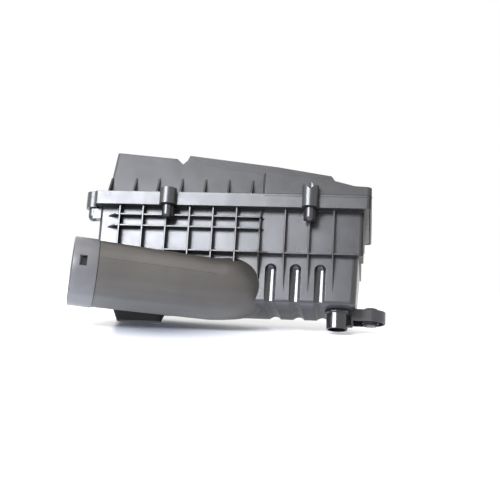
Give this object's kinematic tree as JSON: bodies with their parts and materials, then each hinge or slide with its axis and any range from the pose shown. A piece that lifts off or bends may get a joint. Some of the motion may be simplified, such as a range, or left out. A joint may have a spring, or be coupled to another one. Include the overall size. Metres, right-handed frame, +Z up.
{
  "type": "air filter housing",
  "caption": "Engine air filter housing: deep ribbed tub with side intake duct, wedge-shaped screwed cover with rear outlet, pleated panel element, drain spigot and rubber-bushed mounting lug.",
  "frame": {"origin": "middle of the overall length and depth, at the height of the rest foot and the drain spigot's end", "axes": "+Z up, square to the parting plane; +X along the housing towards the mounting lug; -Y towards the side with the intake duct"},
  "size_m": [0.4112, 0.2892, 0.2283],
  "materials": {
    "casing": "satin",
    "duct": "satin",
    "gloss": "semi-gloss",
    "rubber": "matte",
    "paper": "matte",
    "seal": "matte",
    "steel": "satin",
    "brass": "satin"
  },
  "bodies": {
    "casing": {"lower_casing": "casing", "drain_spigot": "gloss", "snow_screen": "gloss", "collar_seal": "rubber", "mount_grommet": "rubber", "mount_sleeve": "steel"},
    "cover": {"cover": "casing", "outlet_insert_left": "brass", "outlet_insert_right": "brass", "boss_sleeve_front_left": "steel", "boss_sleeve_front_right": "steel", "boss_sleeve_left_end": "steel", "boss_sleeve_rear_left": "steel", "boss_sleeve_rear_right": "steel"},
    "filter": {"filter_seal": "seal", "filter_media": "paper"},
    "collar": {"intake_collar": "duct"},
    "screw_front_left": {"cover_screw_front_left": "steel"},
    "screw_front_right": {"cover_screw_front_right": "steel"},
    "screw_left_end": {"cover_screw_left_end": "steel"},
    "screw_rear_left": {"cover_screw_rear_left": "steel"},
    "screw_rear_right": {"cover_screw_rear_right": "steel"}
  },
  "joints": [
    {"name": "cover_lift", "type": "slide", "parent": "casing", "child": "cover", "axis": [0, 0, 1], "range_m": [0, 0.16]},
    {"name": "filter_lift", "type": "slide", "parent": "casing", "child": "filter", "axis": [0, 0, 1], "range_m": [0, 0.073]},
    {"name": "collar_pull", "type": "slide", "parent": "casing", "child": "collar", "axis": [-0.9507, -0.3089, 0.0279], "range_m": [0, 0.035]},
    {"name": "screw_front_left_out", "type": "slide", "parent": "cover", "child": "screw_front_left", "axis": [0, 0, 1], "range_m": [0, 0.014]},
    {"name": "screw_front_right_out", "type": "slide", "parent": "cover", "child": "screw_front_right", "axis": [0, 0, 1], "range_m": [0, 0.014]},
    {"name": "screw_left_end_out", "type": "slide", "parent": "cover", "child": "screw_left_end", "axis": [0, 0, 1], "range_m": [0, 0.014]},
    {"name": "screw_rear_left_out", "type": "slide", "parent": "cover", "child": "screw_rear_left", "axis": [0, 0, 1], "range_m": [0, 0.014]},
    {"name": "screw_rear_right_out", "type": "slide", "parent": "cover", "child": "screw_rear_right", "axis": [0, 0, 1], "range_m": [0, 0.014]}
  ],
  "couplings": [
    {"joint": "filter_lift", "follows": "cover_lift", "ratio": 0.45}
  ]
}
